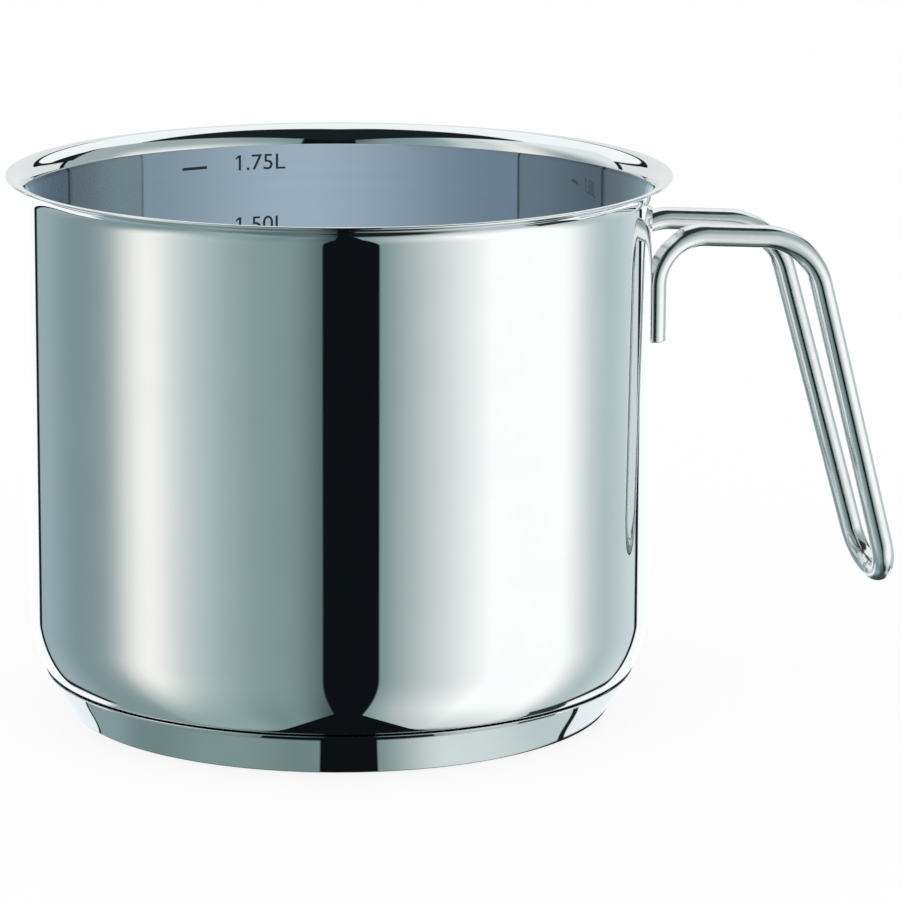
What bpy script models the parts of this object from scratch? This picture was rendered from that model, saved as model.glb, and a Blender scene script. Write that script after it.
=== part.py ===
"""Milk pan: a drawn steel pot with a flared pouring rim, a capsule base and a bent wire handle.

Metres, +Z up. The origin is the centre of the flat underside, Z is the pan's axis and the handle
points along +X. Four pieces make the pan: the drawn pot, an aluminium disc under its floor that
spreads the heat, a steel cap that wraps the disc, and one bent wire whose two flattened ends are
welded to the wall.
"""
import math

import bmesh
import bpy
from mathutils import Vector

# Pot, drawn from one sheet
INNER_DIAMETER = 0.1440
TOTAL_HEIGHT = 0.1267
SHEET_THICKNESS = 0.0006
RIM_FLARE_RADIUS = 0.0050
BODY_CORNER_RADIUS = 0.0280
BODY_CORNER_HEIGHT = 0.0153
FLOOR_CORNER_RADIUS = 0.0050

# Capsule base under the pot
CORE_THICKNESS = 0.0073
CAP_THICKNESS = 0.0008
CAP_SKIRT_ANGLE = 32.5
CAP_OVERLAP = 0.0015
CAP_LIP_WIDTH = 0.0003
CAP_EDGE_RADIUS = 0.0014
CORE_EDGE_RADIUS = 0.0010

# Wire handle, measured along the middle of the wire
WIRE_DIAMETER = 0.0054
WELD_FLAT_DEPTH = 0.0012
WELD_FLAT_LENGTH = 0.0268
FLAT_RUNOUT_LENGTH = 0.0030
LEG_LENGTH = 0.0257
LEG_SPACING = 0.0246
SHOULDER_DROP = 0.0161
SHOULDER_BEND_RADIUS = 0.0116
RUN_LENGTH = 0.0393
RUN_FALL_ANGLE = 4.2
KNUCKLE_BEND_RADIUS = 0.0169
GRIP_ANGLE = 15.4
GRIP_END_SPACING = 0.0185
GRIP_END_HEIGHT = 0.0225

# Clearance between neighbouring pieces
SEAT_GAP = 0.0003

# Fineness of the round surfaces
TURN_STEPS = 72
BIG_ARC_STEPS = 8
SMALL_ARC_STEPS = 4
WIRE_BACK_STEPS = 12
WIRE_FLAT_STEPS = 4
WIRE_BEND_STEPS = 12
MERGE_DISTANCE = 0.000002
SMOOTH_ANGLE = 35.0

# Sizes that follow from the driving ones
inner_radius = INNER_DIAMETER / 2
outer_radius = inner_radius + SHEET_THICKNESS
lip_radius = SHEET_THICKNESS / 2
underside_height = CAP_THICKNESS + SEAT_GAP + CORE_THICKNESS + SEAT_GAP
cap_lip_height = underside_height + CAP_OVERLAP
skirt_slope = math.tan(math.radians(CAP_SKIRT_ANGLE))
skirt_cosine = math.cos(math.radians(CAP_SKIRT_ANGLE))
wire_radius = WIRE_DIAMETER / 2


def arc(centre, radius, start, end, steps):
    """Points (radius, height) on an arc round centre, from the start angle to the end, in radians."""
    angles = [start + (end - start) * step / steps for step in range(steps + 1)]
    return [(centre[0] + radius * math.cos(angle), centre[1] + radius * math.sin(angle))
            for angle in angles]


def rounded_path(corners, radii, steps):
    """The line through the corners, with an arc of the given radius at each inner corner."""
    points = [corners[0]]
    for before, corner, after, radius in zip(corners, corners[1:], corners[2:], radii):
        way_in = (corner - before).normalized()
        way_out = (after - corner).normalized()
        half_turn = way_in.angle(way_out) / 2
        tangent_length = radius * math.tan(half_turn)
        towards_centre = (way_out - way_in).normalized()
        centre = corner + towards_centre * radius / math.cos(half_turn)
        start = corner - way_in * tangent_length - centre
        for step in range(steps + 1):
            turned = 2 * half_turn * step / steps
            points.append(centre + start * math.cos(turned) + way_in * radius * math.sin(turned))
    points.append(corners[-1])
    return points


def floor_corner():
    """Centre of the tight round under the pot's big corner, and the angle where the two meet.

    The wall starts to curve in at the body corner's height above the underside. The tight round
    touches that big arc from inside and ends level on the underside, so its centre lies on the big
    arc's own radius, and how far it is below the big centre gives the angle.
    """
    reach = BODY_CORNER_RADIUS - FLOOR_CORNER_RADIUS
    drop = BODY_CORNER_HEIGHT - FLOOR_CORNER_RADIUS
    angle = math.asin(drop / reach)
    centre_radius = outer_radius - BODY_CORNER_RADIUS + reach * math.cos(angle)
    return (centre_radius, underside_height + FLOOR_CORNER_RADIUS), angle


def steel(name, colour, roughness):
    """A bare metal finish."""
    material = bpy.data.materials.new(name)
    material.use_nodes = True
    shader = material.node_tree.nodes["Principled BSDF"]
    shader.inputs["Base Color"].default_value = (*colour, 1.0)
    shader.inputs["Metallic"].default_value = 1.0
    shader.inputs["Roughness"].default_value = roughness
    material.diffuse_color = (*colour, 1.0)
    return material


def add_object(name, mesh, material):
    """Link a mesh as a smooth-shaded object, with its real edges kept sharp."""
    mesh.materials.append(material)
    mesh.shade_smooth()
    mesh.set_sharp_from_angle(angle=math.radians(SMOOTH_ANGLE))
    piece = bpy.data.objects.new(name, mesh)
    bpy.context.scene.collection.objects.link(piece)
    return piece


def turned(name, profile, material):
    """Spin a profile of (radius, height) points, open only at the axis, into a closed solid."""
    mesh = bpy.data.meshes.new(name)
    shape = bmesh.new()
    line = [shape.verts.new((radius, 0.0, height)) for radius, height in profile]
    edges = [shape.edges.new(pair) for pair in zip(line, line[1:])]
    bmesh.ops.spin(shape, geom=line + edges, cent=(0, 0, 0), axis=(0, 0, 1),
                   angle=math.tau, steps=TURN_STEPS, use_merge=True)
    bmesh.ops.remove_doubles(shape, verts=shape.verts, dist=MERGE_DISTANCE)
    bmesh.ops.recalc_face_normals(shape, faces=shape.faces)
    shape.to_mesh(mesh)
    shape.free()
    return add_object(name, mesh, material)


def pot_side(inset):
    """One face of the pot's sheet, from the floor to the rim, as (radius, height) points.

    An inset of 0 gives the outer face. An inset of the sheet's thickness gives the inner one. The
    bends keep their centres, so that the sheet has one thickness all the way.
    """
    small_centre, meeting_angle = floor_corner()
    big_centre = (outer_radius - BODY_CORNER_RADIUS, underside_height + BODY_CORNER_HEIGHT)
    flare_centre = (inner_radius + RIM_FLARE_RADIUS, TOTAL_HEIGHT - RIM_FLARE_RADIUS)
    flare_radius = RIM_FLARE_RADIUS - SHEET_THICKNESS + inset
    points = [(0.0, underside_height + inset)]
    points += arc(small_centre, FLOOR_CORNER_RADIUS - inset, -math.pi / 2, -meeting_angle,
                  SMALL_ARC_STEPS)
    points += arc(big_centre, BODY_CORNER_RADIUS - inset, -meeting_angle, 0.0, BIG_ARC_STEPS)[1:]
    points += arc(flare_centre, flare_radius, math.pi, math.pi / 2, BIG_ARC_STEPS)
    return points


def make_pot(material):
    """The drawn pot: flat floor, two-radius corner, straight wall and trumpet-shaped rim."""
    outside = pot_side(0.0)
    inside = pot_side(SHEET_THICKNESS)
    lip_centre = (inner_radius + RIM_FLARE_RADIUS, TOTAL_HEIGHT - lip_radius)
    lip = arc(lip_centre, lip_radius, -math.pi / 2, math.pi / 2, SMALL_ARC_STEPS)[1:-1]
    return turned("pan_body", outside + lip + inside[::-1], material)


def lip_seat():
    """Centre and radius of the circle beside the pot's corner that the cap's lip seats on."""
    centre, _ = floor_corner()
    return centre, FLOOR_CORNER_RADIUS + SEAT_GAP


def skirt_radius(height, inset):
    """Radius, at a height, of the cone that lies the inset inside the outside of the cap's skirt."""
    centre, seat_radius = lip_seat()
    seat = centre[0] + math.sqrt(seat_radius ** 2 - (centre[1] - cap_lip_height) ** 2)
    lip = seat + CAP_LIP_WIDTH
    return lip + (height - cap_lip_height) * skirt_slope - inset / skirt_cosine


def seat_angles():
    """Angles on the seating circle of the lip's top and of where the inside of the skirt meets it."""
    centre, seat_radius = lip_seat()
    top = -math.asin((centre[1] - cap_lip_height) / seat_radius)
    skirt_distance = (skirt_radius(centre[1], CAP_THICKNESS) - centre[0]) * skirt_cosine
    bottom = -math.radians(CAP_SKIRT_ANGLE) - math.acos(skirt_distance / seat_radius)
    return top, bottom


def make_cap(material):
    """The steel cap: a flat underside and a sloping skirt whose lip seats on the pot's corner."""
    table_corner = Vector((skirt_radius(0.0, 0.0), 0, 0))
    lip_corner = Vector((skirt_radius(cap_lip_height, 0.0), 0, cap_lip_height))
    outside = rounded_path([Vector((0, 0, 0)), table_corner, lip_corner], [CAP_EDGE_RADIUS],
                           SMALL_ARC_STEPS)
    seat = arc(*lip_seat(), *seat_angles(), SMALL_ARC_STEPS)
    inner_corner = Vector((skirt_radius(CAP_THICKNESS, CAP_THICKNESS), 0, CAP_THICKNESS))
    skirt_top = Vector((seat[-1][0], 0, seat[-1][1]))
    inside = rounded_path([skirt_top, inner_corner, Vector((0, 0, CAP_THICKNESS))],
                          [CAP_EDGE_RADIUS - CAP_THICKNESS], SMALL_ARC_STEPS)
    profile = [(point.x, point.z) for point in outside] + seat[:-1]
    profile += [(point.x, point.z) for point in inside]
    return turned("base_cap", profile, material)


def make_core(material):
    """The aluminium disc: it fills the cap up to the pot's underside."""
    bottom = CAP_THICKNESS + SEAT_GAP
    top = underside_height - SEAT_GAP
    inset = CAP_THICKNESS + SEAT_GAP
    corners = [Vector((0, 0, bottom)),
               Vector((skirt_radius(bottom, inset), 0, bottom)),
               Vector((skirt_radius(top, inset), 0, top)),
               Vector((0, 0, top))]
    path = rounded_path(corners, [CORE_EDGE_RADIUS, CORE_EDGE_RADIUS / 2], SMALL_ARC_STEPS)
    return turned("base_core", [(point.x, point.z) for point in path], material)


def wire_route():
    """Middle line of the near half of the wire, from its foot to the middle of the end loop."""
    flat_offset = wire_radius - WELD_FLAT_DEPTH
    flat_half_width = math.sqrt(wire_radius ** 2 - flat_offset ** 2)
    inner_edge = LEG_SPACING / 2 - flat_half_width
    leg_x = math.sqrt(outer_radius ** 2 - inner_edge ** 2) + SEAT_GAP + flat_offset
    shoulder_height = TOTAL_HEIGHT - SHOULDER_DROP
    fall = math.radians(RUN_FALL_ANGLE)
    foot = Vector((leg_x, -LEG_SPACING / 2, shoulder_height - LEG_LENGTH))
    shoulder = Vector((leg_x, -LEG_SPACING / 2, shoulder_height))
    knuckle = shoulder + RUN_LENGTH * Vector((math.cos(fall), 0, -math.sin(fall)))
    grip_drop = knuckle.z - GRIP_END_HEIGHT
    grip_reach = grip_drop * math.tan(math.radians(GRIP_ANGLE))
    loop_corner = Vector((knuckle.x + grip_reach, -GRIP_END_SPACING / 2, GRIP_END_HEIGHT))
    loop_middle = Vector((loop_corner.x, 0, loop_corner.z))
    loop_turn = (loop_corner - knuckle).angle(Vector((0, 1, 0)))
    loop_radius = GRIP_END_SPACING / 2 / math.tan(loop_turn / 2)
    radii = [SHOULDER_BEND_RADIUS, KNUCKLE_BEND_RADIUS, loop_radius]
    return rounded_path([foot, shoulder, knuckle, loop_corner, loop_middle], radii, WIRE_BEND_STEPS)


def section_angles():
    """Angles round the wire, from the side that faces the wall, with one on each edge of the flat."""
    edge = math.acos((wire_radius - WELD_FLAT_DEPTH) / wire_radius)
    flat = [-edge + 2 * edge * step / WIRE_FLAT_STEPS for step in range(WIRE_FLAT_STEPS)]
    back = [edge + 2 * (math.pi - edge) * step / WIRE_BACK_STEPS for step in range(WIRE_BACK_STEPS)]
    return flat + back


def flat_reach(distance):
    """How far the wire's wall side lies from its middle, at a distance along it from its foot.

    The flat keeps its depth along the leg and round the bend, then scoops out to the full round.
    """
    run_out = (distance - WELD_FLAT_LENGTH + FLAT_RUNOUT_LENGTH) / FLAT_RUNOUT_LENGTH
    run_out = min(max(run_out, 0.0), 1.0)
    scoop = 1 - math.sqrt(1 - run_out ** 2)
    return wire_radius - WELD_FLAT_DEPTH * (1 - scoop)


def make_handle(material):
    """One half of the bent wire, swept along its route and mirrored across the pan's middle."""
    route = wire_route()
    steps = [b - a for a, b in zip(route, route[1:])]
    tangents = [steps[0]] + [a.normalized() + b.normalized() for a, b in zip(steps, steps[1:])]
    tangents = [tangent.normalized() for tangent in tangents + [Vector((0, 1, 0))]]
    angles = section_angles()
    mesh = bpy.data.meshes.new("handle_wire")
    shape = bmesh.new()
    rings = []
    distance = 0.0
    wall_side = Vector((-1, 0, 0))
    for index, (point, tangent) in enumerate(zip(route, tangents)):
        wall_side = (wall_side - tangent * wall_side.dot(tangent)).normalized()
        across = tangent.cross(wall_side)
        reach = flat_reach(distance)
        ring = []
        for angle in angles:
            towards_wall = min(wire_radius * math.cos(angle), reach)
            offset = wall_side * towards_wall + across * wire_radius * math.sin(angle)
            ring.append(shape.verts.new(point + offset))
        rings.append(ring)
        if index < len(steps):
            distance += steps[index].length
    for lower, upper in zip(rings, rings[1:]):
        for near, following in zip(range(len(angles)), [*range(1, len(angles)), 0]):
            shape.faces.new((lower[near], lower[following], upper[following], upper[near]))
    shape.faces.new(rings[0][::-1])
    shape.to_mesh(mesh)
    shape.free()
    handle = add_object("handle_wire", mesh, material)
    mirror = handle.modifiers.new("Far half", "MIRROR")
    mirror.use_axis = (False, True, False)
    mirror.merge_threshold = 0.00002
    return handle


for leftover in list(bpy.data.objects):
    bpy.data.objects.remove(leftover, do_unlink=True)

polished_steel = steel("polished_steel", (0.78, 0.80, 0.80), 0.06)
cap_steel = steel("cap_steel", (0.76, 0.78, 0.78), 0.10)
core_aluminium = steel("core_aluminium", (0.80, 0.80, 0.81), 0.45)
wire_steel = steel("wire_steel", (0.74, 0.76, 0.76), 0.16)

make_pot(polished_steel)
make_core(core_aluminium)
make_cap(cap_steel)
make_handle(wire_steel)
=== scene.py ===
# %% [markdown]
# # A polished steel milk pan
#
# This lesson dresses a milk pan: a tall steel pot with a rim that flares so that it pours from
# anywhere, a thick base made of an aluminium disc under a steel cap, and a handle bent from one
# steel wire. The solid model of the pan is already packed. It comes in first and stays where it
# is, and every surface made here is laid over it at the same size, in metres, with +Z up and the
# handle along +X.

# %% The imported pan
import math

import bpy
import numpy as np
from mathutils import Matrix, Vector


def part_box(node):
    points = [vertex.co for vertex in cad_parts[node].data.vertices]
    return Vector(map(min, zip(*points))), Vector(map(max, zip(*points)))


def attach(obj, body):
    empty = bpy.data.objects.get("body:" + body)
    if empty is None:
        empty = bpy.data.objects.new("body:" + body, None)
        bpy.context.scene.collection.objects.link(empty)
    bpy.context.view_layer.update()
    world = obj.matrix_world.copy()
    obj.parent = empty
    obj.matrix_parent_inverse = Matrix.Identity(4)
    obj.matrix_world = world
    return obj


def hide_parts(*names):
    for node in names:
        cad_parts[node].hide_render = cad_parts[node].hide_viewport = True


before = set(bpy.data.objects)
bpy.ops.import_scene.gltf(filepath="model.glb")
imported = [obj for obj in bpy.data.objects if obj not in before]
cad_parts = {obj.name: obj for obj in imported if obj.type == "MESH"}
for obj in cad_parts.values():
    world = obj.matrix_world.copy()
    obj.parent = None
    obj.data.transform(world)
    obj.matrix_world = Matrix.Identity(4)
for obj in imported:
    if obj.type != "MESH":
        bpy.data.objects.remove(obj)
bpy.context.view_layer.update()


# %% [markdown]
# ## The camera
#
# A photographer of pans stands well back with a long lens, so that the round rim stays a calm
# ellipse and the wall hardly narrows downwards. The camera is a little above the rim and looks
# down at the pan. It is placed by its distance, its height and three small angles, and turned
# round the pan so that the handle points right and slightly away from it.

# %% The camera's place and lens
HANDLE_TURN = math.radians(16.73)
CAMERA_DISTANCE = 1.1474
CAMERA_HEIGHT = 0.3097
CAMERA_PITCH = math.radians(12.242)
CAMERA_YAW = math.radians(1.292)
CAMERA_ROLL = math.radians(0.256)
CAMERA_LENS = 200.24


def camera_place():
    """Turns about Z by the handle's turn, then back, up, yaw, pitch and roll, as one matrix."""
    upright = Matrix.Rotation(math.pi / 2, 4, "X")
    pitched = Matrix.Rotation(-CAMERA_PITCH, 4, "X")
    yawed = Matrix.Rotation(-CAMERA_YAW, 4, "Z")
    rolled = Matrix.Rotation(CAMERA_ROLL, 4, "Z")
    stand = Matrix.Translation((0.0, -CAMERA_DISTANCE, CAMERA_HEIGHT))
    return Matrix.Rotation(-HANDLE_TURN, 4, "Z") @ stand @ yawed @ pitched @ upright @ rolled


camera_data = bpy.data.cameras.new("long_lens")
camera_data.lens = CAMERA_LENS
camera_data.sensor_width = 36.0
camera = bpy.data.objects.new("camera", camera_data)
camera.matrix_world = camera_place()
bpy.context.scene.collection.objects.link(camera)
bpy.context.scene.camera = camera
bpy.context.scene.view_settings.view_transform = "Standard"
print("camera at, in mm:", [round(1000 * value, 1) for value in camera.matrix_world.translation])


# %% [markdown]
# ## Surfaces from grids
#
# Every piece of this pan is one of two things: a profile turned on a lathe, or a section carried
# along a bent line. Both are grids of points with rows and columns, so one helper is enough to
# join a grid into faces. A mirror finish shows every flaw in a surface. So the straight parts get
# short rows beside each bend, which keeps the bend's shading from leaking along the straight.

# %% From a grid of points to a mesh
def grid_faces(rows, columns):
    """Four-sided faces between neighbouring rows, with the last column joined to the first."""
    row = np.arange(rows - 1)[:, None]
    column = np.arange(columns)[None, :]
    following = (column + 1) % columns
    corners = [row * columns + column, row * columns + following,
               (row + 1) * columns + following, (row + 1) * columns + column]
    return np.stack(np.broadcast_arrays(*corners), axis=-1).reshape(-1, 4)


def fan_faces(tip, ring, flip):
    """Three-sided faces from one tip to a closed ring of points."""
    following = np.roll(ring, -1)
    fan = np.stack([np.full_like(ring, tip), ring, following], axis=-1)
    return fan[:, ::-1] if flip else fan


def make_piece(name, points, faces, materials, node, slot, finish=None):
    """A smooth mesh object from points and lists of faces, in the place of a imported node.

    The finish says for each face which of the materials it has.
    """
    mesh = bpy.data.meshes.new(name)
    mesh.from_pydata(points.tolist(), [], [face for part in faces for face in part.tolist()])
    for material in materials:
        mesh.materials.append(material)
    if finish is not None:
        mesh.polygons.foreach_set("material_index", finish.astype(np.int32))
    mesh.shade_smooth()
    piece = bpy.data.objects.new(name, mesh)
    bpy.context.scene.collection.objects.link(piece)
    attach(piece, "root")
    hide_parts(node)
    triangles = sum(len(polygon.vertices) - 2 for polygon in mesh.polygons)
    print(f"{name}: {triangles} triangles, {len(materials)} materials")


def arc(centre, radius, start, end, steps):
    """Points on a circle round the centre, at even angles in degrees from start to end."""
    angles = np.radians(np.linspace(start, end, steps + 1))
    return np.stack([centre[0] + radius * np.cos(angles), centre[1] + radius * np.sin(angles)], -1)


def supported(line, margin=0.0004):
    """The line with an extra point a short way inside each end of every long straight stretch."""
    step = np.diff(line, axis=0)
    length = np.linalg.norm(step, axis=1)
    share = np.where(length > 4 * margin, margin / np.maximum(length, margin), 0.0)[:, None]
    near, far = line[:-1] + step * share, line[1:] - step * share
    woven = np.stack([line[:-1], near, far], axis=1).reshape(-1, line.shape[1])
    keep = np.repeat(length > 4 * margin, 3)
    keep[0::3] = True
    return np.vstack([woven[keep], line[-1:]])


# %% [markdown]
# ## The sheet of the pot
#
# The pot is drawn from one sheet: a press pushes a disc into a deep cup, a tool rolls the rim
# outwards, and the result is a thin wall of the same thickness everywhere. In the drawing that is
# one profile with an inner and an outer side, 0.6 mm apart, whose bends share their centres. A
# lathe turns it into the pot. The lip is a plain half round, as wide as the sheet.

# %% The pot's sizes and profile
BORE_RADIUS = 0.0720
SHEET = 0.0006
RIM_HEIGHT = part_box("pan_body")[1].z
FLARE_RADIUS = 0.0050
CORNER_RADIUS = 0.0280
CORNER_HEIGHT = 0.0153
FLOOR_BEND_RADIUS = 0.0050
POT_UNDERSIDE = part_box("pan_body")[0].z
WALL_RADIUS = BORE_RADIUS + SHEET
FLOOR_BEND_STEPS, CORNER_STEPS, FLARE_STEPS, LIP_STEPS = 14, 30, 40, 10

bends_apart = CORNER_RADIUS - FLOOR_BEND_RADIUS
corner_meeting = math.degrees(math.asin((CORNER_HEIGHT - FLOOR_BEND_RADIUS) / bends_apart))
floor_bend_out = bends_apart * math.cos(math.radians(corner_meeting))
floor_bend_centre = (WALL_RADIUS - CORNER_RADIUS + floor_bend_out,
                     POT_UNDERSIDE + FLOOR_BEND_RADIUS)
corner_centre = (WALL_RADIUS - CORNER_RADIUS, POT_UNDERSIDE + CORNER_HEIGHT)
flare_centre = (BORE_RADIUS + FLARE_RADIUS, RIM_HEIGHT - FLARE_RADIUS)


def pot_side(inset):
    """One side of the sheet from the floor's middle to the lip.

    The floor, a tight bend, the big corner's arc, the upright wall and the flare's quarter circle,
    all moved inwards by the inset.
    """
    return np.vstack([
        [(0.0, POT_UNDERSIDE + inset)],
        arc(floor_bend_centre, FLOOR_BEND_RADIUS - inset, -90.0, -corner_meeting,
            FLOOR_BEND_STEPS),
        arc(corner_centre, CORNER_RADIUS - inset, -corner_meeting, 0.0, CORNER_STEPS)[1:],
        arc(flare_centre, FLARE_RADIUS - SHEET + inset, 180.0, 90.0, FLARE_STEPS),
    ])


lip_centre = (BORE_RADIUS + FLARE_RADIUS, RIM_HEIGHT - SHEET / 2)
lip = arc(lip_centre, SHEET / 2, -90.0, 90.0, LIP_STEPS)[1:-1]
pot_profile = supported(np.vstack([pot_side(0.0), lip, pot_side(SHEET)[::-1]]))
print("points in the pot's profile:", len(pot_profile))


# %% On the lathe
TURN_STEPS = 360


def turned(profile):
    """Every profile point (radius, height) carried round the axis: radius times the cosine and
    sine of the angle. The first and last points lie on the axis and close the surface."""
    angles = np.linspace(0.0, 2 * np.pi, TURN_STEPS, endpoint=False)
    rim = profile[1:-1]
    points = np.stack([rim[:, 0, None] * np.cos(angles), rim[:, 0, None] * np.sin(angles),
                       np.broadcast_to(rim[:, 1, None], (len(rim), TURN_STEPS))], axis=-1)
    poles = np.array([(0.0, 0.0, profile[0, 1]), (0.0, 0.0, profile[-1, 1])])
    points = np.vstack([points.reshape(-1, 3), poles])
    first_pole = len(points) - 2
    ring = np.arange(TURN_STEPS)
    faces = [grid_faces(len(rim), TURN_STEPS),
             fan_faces(first_pole, ring, True),
             fan_faces(first_pole + 1, ring + TURN_STEPS * (len(rim) - 1), False)]
    return points, faces


# %% [markdown]
# ## Finishes
#
# Polished steel is a mirror, so it has almost no colour of its own and takes everything from the
# room. What gives it away as metal is what breaks the mirror a little: hair-fine rings from the
# polishing wheel, a faint haze, and a trace of waviness from the press. Each of these is a small
# shader group, built once here and used with other values by every finish. A value in a shader
# can be added and multiplied like a number here, so that a formula reads as it would on paper.

# %% Shader helpers
class Value:
    """A number that changes over a surface: one output of a shader tree, with plain arithmetic.

    Each sign makes one Math node in the output's own tree.
    """

    def __init__(self, socket):
        self.socket = socket

    def __add__(self, other):
        return maths("ADD", self, other)

    def __sub__(self, other):
        return maths("SUBTRACT", self, other)

    def __rsub__(self, other):
        return maths("SUBTRACT", other, self)

    def __mul__(self, other):
        return maths("MULTIPLY", self, other)

    def __truediv__(self, other):
        return maths("DIVIDE", self, other)

    def __abs__(self):
        return maths("ABSOLUTE", self)


def add_node(tree, kind, **settings):
    """A node of the given kind, with its settings, and values for its inputs by name or number."""
    node = tree.nodes.new("ShaderNode" + kind)
    inputs = settings.pop("inputs", {})
    for setting, value in settings.items():
        setattr(node, setting, value)
    for key, value in inputs.items():
        value = value.socket if isinstance(value, Value) else value
        if isinstance(value, bpy.types.NodeSocket):
            tree.links.new(value, node.inputs[key])
        else:
            node.inputs[key].default_value = value
    return node


def maths(operation, *numbers):
    """One Math node. The numbers are plain or values, and one at least is a value."""
    tree = next(number.socket.id_data for number in numbers if isinstance(number, Value))
    inputs = dict(enumerate(numbers))
    return Value(add_node(tree, "Math", operation=operation, inputs=inputs).outputs[0])


def ramp(value, low, high, smooth=True):
    """From 0 at the low value to 1 at the high one, evenly or with eased ends."""
    node = add_node(value.socket.id_data, "MapRange",
                    interpolation_type="SMOOTHSTEP" if smooth else "LINEAR",
                    inputs={"Value": value, "From Min": low, "From Max": high})
    return Value(node.outputs[0])


def band(value, rise, fall):
    """1 between the rise and the fall, 0 outside, with a ramp at each side."""
    return ramp(value, *rise) * (1.0 - ramp(value, *fall))


def mixed(share, first, second):
    """A number from the first to the second by the share."""
    node = add_node(share.socket.id_data, "Mix", inputs={0: share, 2: first, 3: second})
    return Value(node.outputs[0])


def mixed_colour(share, first, second):
    """One colour mix. The share is a value; each colour is an output or three numbers."""
    first, second = [(*colour, 1.0) if isinstance(colour, tuple) else colour
                     for colour in (first, second)]
    return add_node(share.socket.id_data, "Mix", data_type="RGBA",
                    inputs={0: share, 6: first, 7: second}).outputs[2]


def repainted(first, *layers):
    """The first colour with each layer's colour laid over it by the layer's share."""
    for share, colour in layers:
        first = mixed_colour(share, first, colour)
    return first


def new_group(name, inputs, outputs):
    """A shader group, its input outlets by name, and a function that sets one of its outputs."""
    group = bpy.data.node_groups.new(name, "ShaderNodeTree")
    for label, kind in inputs:
        group.interface.new_socket(label, in_out="INPUT", socket_type="NodeSocket" + kind)
    for label, kind in outputs:
        group.interface.new_socket(label, in_out="OUTPUT", socket_type="NodeSocket" + kind)
    given, results = group.nodes.new("NodeGroupInput"), group.nodes.new("NodeGroupOutput")

    def give(label, result):
        result = result.socket if isinstance(result, Value) else result
        group.links.new(result, results.inputs[label])

    return group, given.outputs, give


def new_material(name):
    """An empty node material, its tree, and the outlet of the surface's own coordinates."""
    material = bpy.data.materials.new(name)
    material.use_nodes = True
    material.node_tree.nodes.clear()
    place = add_node(material.node_tree, "TexCoord").outputs["Object"]
    return material, material.node_tree, place


def finished(tree, shader):
    """Joins the shader to the tree's output."""
    add_node(tree, "OutputMaterial", inputs={"Surface": shader.outputs[0]})


def azimuth_of(place):
    """Degrees from the camera's side towards the photograph's right, and the height, of a place."""
    tree = place.id_data
    seen = add_node(tree, "VectorRotate", rotation_type="Z_AXIS",
                    inputs={"Angle": HANDLE_TURN, "Vector": place}).outputs[0]
    right, back, height = map(Value, add_node(tree, "SeparateXYZ", inputs={0: seen}).outputs)
    return maths("DEGREES", maths("ARCTAN2", right, back * -1.0)), height


# %% Rings, haze and waves
def noise(place, scale, detail=2.0, roughness=0.5):
    """Plain noise between 0 and 1 over a place."""
    return Value(add_node(place.id_data, "TexNoise", inputs={
        "Vector": place, "Scale": scale, "Detail": detail, "Roughness": roughness}).outputs[0])


RING_DRIFT = 26.0
GRAIN_SCALE = 2600.0

# Fine rings round the Z axis: noise that changes fast with height plus radius and slowly along.
rings, given, give = new_group("turned_rings", [("Place", "Vector"), ("Fineness", "Float")],
                               [("Lines", "Float"), ("Streaks", "Float")])
x, y, z = add_node(rings, "SeparateXYZ", inputs={0: given["Place"]}).outputs
flat_place = add_node(rings, "CombineXYZ", inputs={0: x, 1: y}).outputs[0]
radius = add_node(rings, "VectorMath", operation="LENGTH", inputs={0: flat_place}).outputs["Value"]
run = (Value(radius) + Value(z)) * Value(given["Fineness"])
slow = add_node(rings, "VectorMath", operation="SCALE", inputs={0: flat_place, "Scale": RING_DRIFT})
fast = add_node(rings, "CombineXYZ", inputs={2: run})
joined = add_node(rings, "VectorMath", inputs={0: slow.outputs[0], 1: fast.outputs[0]})
ring_place = joined.outputs[0]
give("Lines", noise(ring_place, 1.0, 1.0))
give("Streaks", noise(ring_place, 0.23, 3.0))

# Broad patches where the polish is a little duller, and slow swells left by the press.
haze, given, give = new_group("soft_haze", [("Place", "Vector")],
                              [("Haze", "Float"), ("Waves", "Float")])
patches = noise(given["Place"], 21.0, 3.0, 0.6) * noise(given["Place"], 74.0, 4.0, 0.65)
give("Haze", ramp(patches, 0.14, 0.40))
give("Waves", noise(given["Place"], 34.0, 1.0))
print("shader groups:", [group.name for group in bpy.data.node_groups])


def marks(place, fineness):
    """Lines, streaks, haze and waves over a place."""
    tree = place.id_data
    wheel = add_node(tree, "Group", node_tree=rings, inputs={"Place": place, "Fineness": fineness})
    press = add_node(tree, "Group", node_tree=haze, inputs={"Place": place})
    return map(Value, (*wheel.outputs, *press.outputs))


def bumped(height, depth, normal=None):
    """The surface's direction with a height pressed into it, to a depth in metres."""
    inputs = {"Height": height, "Strength": 1.0, "Distance": depth}
    if normal is not None:
        inputs["Normal"] = normal
    return add_node(height.socket.id_data, "Bump", inputs=inputs).outputs[0]


def metal(name, fineness, clear, hazy, rough, by_streaks, by_haze, swell=0.0, hair=0.0, grain=0.0):
    """A bare metal: a clear and a hazy colour, a roughness that grows with streaks and haze, and
    the depths in metres of the press's swells, the wheel's hair lines and a fine grain."""
    material, tree, place = new_material(name)
    lines, streaks, dull, waves = marks(place, fineness)
    normal = bumped(lines, hair) if hair else None
    normal = bumped(waves, swell, normal) if swell else normal
    normal = bumped(noise(place, GRAIN_SCALE, 3.0, 0.7), grain, normal) if grain else normal
    finished(tree, add_node(tree, "BsdfPrincipled", inputs={
        "Base Color": mixed_colour(dull, clear, hazy), "Metallic": 1.0,
        "Roughness": streaks * by_streaks + dull * by_haze + rough, "Normal": normal}))
    return material


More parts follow.
